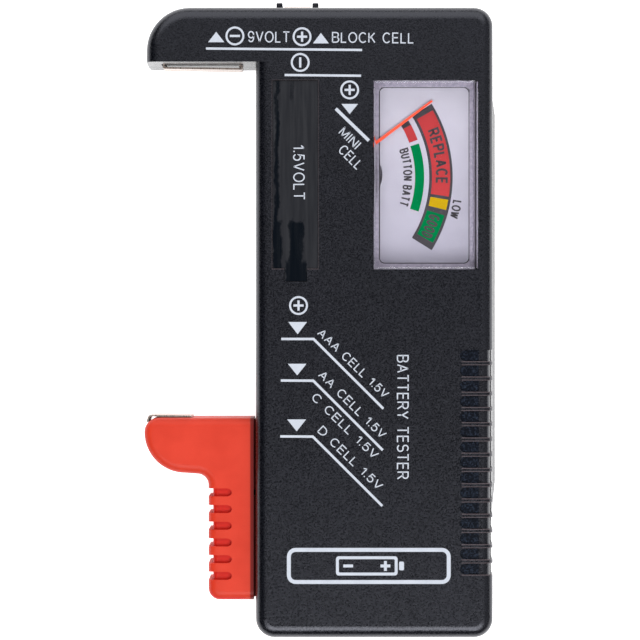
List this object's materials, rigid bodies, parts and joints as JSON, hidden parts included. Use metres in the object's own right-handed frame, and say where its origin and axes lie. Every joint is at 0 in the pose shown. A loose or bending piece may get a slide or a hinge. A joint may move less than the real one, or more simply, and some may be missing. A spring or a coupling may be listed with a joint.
{
  "type": "analogue battery tester",
  "caption": "Pocket battery tester with a hooked case, a sliding sprung arm that closes on a cell, snap contacts on top and a needle meter behind a clear window.",
  "frame": {"origin": "under the centre of the tester's bounding box, on the plane its back lies on", "axes": "+Y along the case towards the end with the snap contacts, +Z out of the dial side, +X to the right seen from the front, away from the hook and the sliding arm"},
  "size_m": [0.0616, 0.11, 0.025],
  "materials": {
    "case_plastic": "fine matt texture, charcoal",
    "label_film": "satin printed film",
    "gloss_plastic": "polished, near black",
    "screw_steel": "zinc plated",
    "arm_plastic": "satin, orange red",
    "contact_steel": "nickel plated strip",
    "contact_brass": "bare strip",
    "meter_plastic": "satin, grey",
    "clear_plastic": "clear polystyrene",
    "dial_paint": "matt print on a pale ground",
    "yoke_iron": "bare soft iron",
    "magnet_steel": "ground magnet alloy",
    "bridge_aluminium": "stamped strip",
    "coil_copper": "enamelled fine wire",
    "pointer_paint": "matt orange red paint",
    "solder": "solder drop",
    "hairspring_bronze": "phosphor bronze ribbon",
    "board_laminate": "phenolic paper board",
    "resistor_coating": "lacquered film resistor",
    "wire_red": "vinyl insulation",
    "wire_black": "vinyl insulation",
    "wire_blue": "vinyl insulation",
    "wire_yellow": "vinyl insulation",
    "print_white": "screen print on the case",
    "print_black": "ink on the dial",
    "print_red": "ink on the dial",
    "print_yellow": "ink on the dial",
    "print_green": "ink on the dial"
  },
  "bodies": {
    "case": {"front_shell": "case_plastic", "back_shell": "case_plastic", "rear_label": "label_film", "gloss_strip": "gloss_plastic", "case_screws": "screw_steel", "module_screws": "screw_steel", "contact_rail": "contact_brass", "hook_contact": "contact_steel", "snap_contact_positive": "contact_steel", "snap_contact_negative": "contact_steel", "meter_base": "meter_plastic", "meter_window": "clear_plastic", "dial_plate": "dial_paint", "yoke_ring": "yoke_iron", "core_magnet": "magnet_steel", "core_spacers": "contact_brass", "upper_bridge": "bridge_aluminium", "lower_bridge": "bridge_aluminium", "jewel_screws": "contact_brass", "meter_terminals": "contact_brass", "circuit_board": "board_laminate", "resistors": "resistor_coating", "wire_contact_rail": "wire_red", "wire_hook_contact": "wire_black", "wire_nine_volt_positive": "wire_red", "wire_nine_volt_negative": "wire_black", "wire_meter_positive": "wire_blue", "wire_meter_negative": "wire_yellow"},
    "arm": {"slide_arm": "arm_plastic", "arm_contact": "contact_steel", "rail_wiper": "contact_brass", "wiper_screw": "screw_steel"},
    "movement": {"moving_coil": "coil_copper", "coil_staff": "screw_steel", "pointer": "pointer_paint", "balance_weight": "solder", "upper_hairspring": "hairspring_bronze", "lower_hairspring": "hairspring_bronze"}
  },
  "joints": [
    {"name": "arm_slide", "type": "slide", "parent": "case", "child": "arm", "axis": [0, 1, 0], "range_m": [-0.003, 0.0584]},
    {"name": "pointer_swing", "type": "hinge", "parent": "case", "child": "movement", "pos_m": [0.002, 0.02498, 0.0207], "axis": [0, 0, -1], "range_deg": [0, 74], "stiffness_Nm_per_rad": 0.000001, "springref_deg": -4.98, "deforming": ["upper_hairspring", "lower_hairspring"]}
  ]
}
